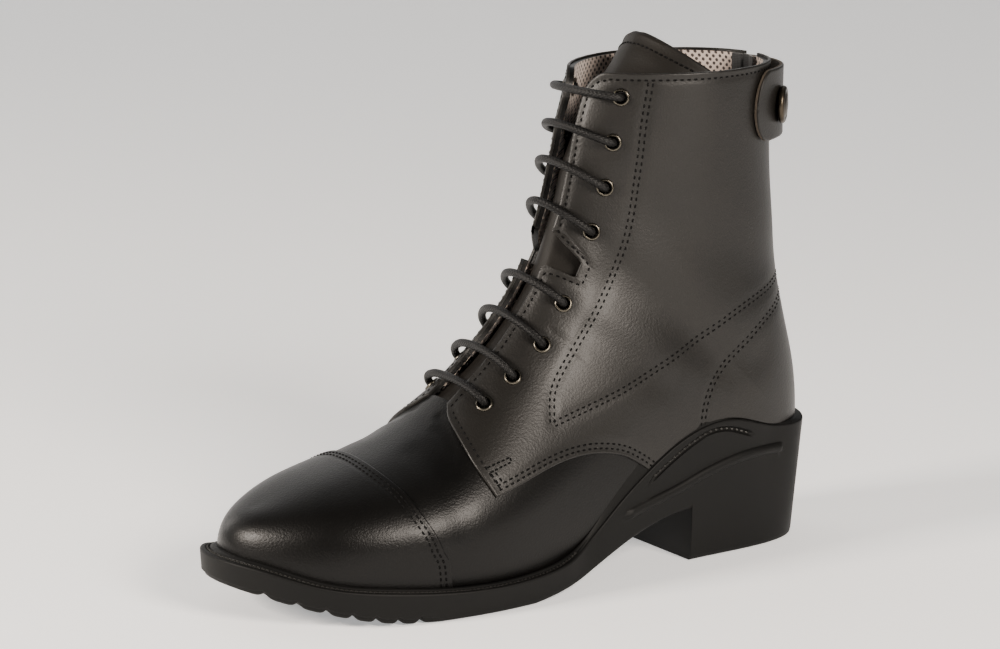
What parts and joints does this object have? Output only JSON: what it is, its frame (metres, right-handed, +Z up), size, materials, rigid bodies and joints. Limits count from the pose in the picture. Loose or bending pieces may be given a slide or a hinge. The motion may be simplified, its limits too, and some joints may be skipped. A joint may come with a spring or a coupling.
{
  "type": "jodhpur boot",
  "caption": "Left ankle-high riding boot in black leather: laced front, toe cap, rear zip under a snap strap, moulded rubber sole with a low block heel.",
  "frame": {"origin": "centre of the bounding box in plan, on the floor plane under the tread", "axes": "+X towards the toe, +Y towards the outer side of the left foot, +Z up"},
  "size_m": [0.2792, 0.1008, 0.2194],
  "materials": {
    "black_leather": "satin",
    "black_rubber": "matte",
    "gunmetal": "satin",
    "waxed_cord": "matte",
    "insole_fabric": "matte",
    "zip_tape": "matte"
  },
  "bodies": {
    "root": {"eyelet_lateral_1": "gunmetal", "eyelet_lateral_2": "gunmetal", "eyelet_lateral_3": "gunmetal", "eyelet_lateral_4": "gunmetal", "eyelet_lateral_5": "gunmetal", "eyelet_lateral_6": "gunmetal", "eyelet_lateral_7": "gunmetal", "eyelet_lateral_8": "gunmetal", "eyelet_medial_1": "gunmetal", "eyelet_medial_2": "gunmetal", "eyelet_medial_3": "gunmetal", "eyelet_medial_4": "gunmetal", "eyelet_medial_5": "gunmetal", "eyelet_medial_6": "gunmetal", "eyelet_medial_7": "gunmetal", "eyelet_medial_8": "gunmetal", "heel_tab": "zip_tape", "insole": "insole_fabric", "lace_bar_1": "waxed_cord", "lace_bar_2": "waxed_cord", "lace_bar_3": "waxed_cord", "lace_bar_4": "waxed_cord", "lace_bar_5": "waxed_cord", "lace_bar_6": "waxed_cord", "lace_bar_7": "waxed_cord", "lace_bar_8": "waxed_cord", "quarter_lateral": "black_leather", "quarter_medial": "black_leather", "snap_cap": "gunmetal", "sole_unit": "black_rubber", "strap": "black_leather", "toe_cap": "black_leather", "tongue": "black_leather", "upper": "black_leather", "zip": "zip_tape", "zip_slider": "gunmetal"},
    "zip_pull": {"zip_pull": "gunmetal"}
  },
  "joints": [
    {"name": "zip_pull_hinge", "type": "hinge", "parent": "root", "child": "zip_pull", "pos_m": [-0.12353, -0.00073, 0.194], "axis": [0, 1, 0], "range_deg": [0, 5]}
  ]
}
